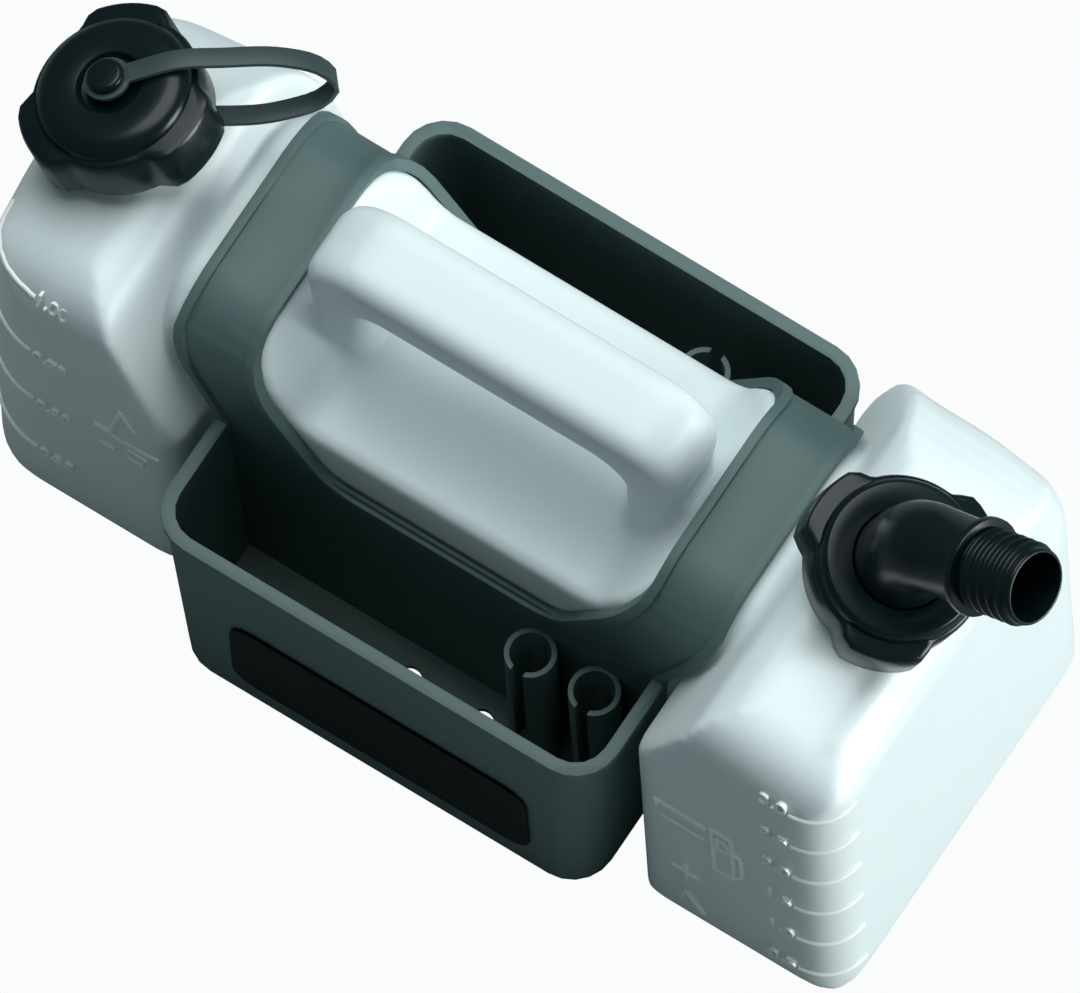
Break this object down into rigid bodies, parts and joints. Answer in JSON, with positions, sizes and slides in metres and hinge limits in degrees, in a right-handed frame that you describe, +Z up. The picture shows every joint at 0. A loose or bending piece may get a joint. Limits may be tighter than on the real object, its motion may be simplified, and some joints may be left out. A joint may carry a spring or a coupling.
{
  "type": "combination fuel can",
  "caption": "Twin-chamber can for fuel and chain oil with a handle, a saddle tool carrier with open pockets, a tethered screw cap and a swivelling pouring spout.",
  "frame": {"origin": "on the flat base, in the middle between the two tanks and under the handle", "axes": "+X towards the fuel tank with the spout, -Y towards the front with the label plate, +Z up"},
  "size_m": [0.3942, 0.1742, 0.2797],
  "materials": {
    "natural_plastic": "satin translucent blown plastic in its natural milky tint",
    "carrier_plastic": "dark green-grey moulded plastic with a fine matte grain",
    "label_film": "plain black film, bare",
    "strap_plastic": "soft dark grey plastic",
    "black_plastic": "satin black moulded plastic",
    "seal_rubber": "matte black rubber"
  },
  "bodies": {
    "can": {"canister": "natural_plastic", "tool_carrier": "carrier_plastic", "label_plate": "label_film"},
    "lifted_strap": {"cap_strap": "strap_plastic", "strap_rivet": "black_plastic"},
    "screw_cap": {"oil_cap": "black_plastic", "oil_cap_seal": "seal_rubber"},
    "lifted_seal": {"spout_seal": "seal_rubber"},
    "union_nut": {"spout_nut": "black_plastic"},
    "spout": {"fuel_spout": "black_plastic"}
  },
  "joints": [
    {"name": "oil_cap_lift", "type": "slide", "parent": "can", "child": "lifted_strap", "axis": [-0.342, 0, 0.9397], "range_m": [0, 0.009]},
    {"name": "oil_cap_turn", "type": "hinge", "parent": "lifted_strap", "child": "screw_cap", "pos_m": [-0.147, 0, 0.1879], "axis": [-0.342, 0, 0.9397], "range_deg": [0, 540]},
    {"name": "spout_lift", "type": "slide", "parent": "can", "child": "lifted_seal", "axis": [0.2924, 0, 0.9563], "range_m": [0, 0.009]},
    {"name": "spout_nut_turn", "type": "hinge", "parent": "lifted_seal", "child": "union_nut", "pos_m": [0.143, 0, 0.18788], "axis": [0.2924, 0, 0.9563], "range_deg": [0, 540]},
    {"name": "spout_swivel", "type": "hinge", "parent": "lifted_seal", "child": "spout", "pos_m": [0.143, 0, 0.18788], "axis": [0.2924, 0, 0.9563], "range_deg": [-180, 180]}
  ],
  "couplings": [
    {"joint": "oil_cap_turn", "follows": "oil_cap_lift", "rad_per_m": 1047.2},
    {"joint": "spout_nut_turn", "follows": "spout_lift", "rad_per_m": 1047.2}
  ]
}
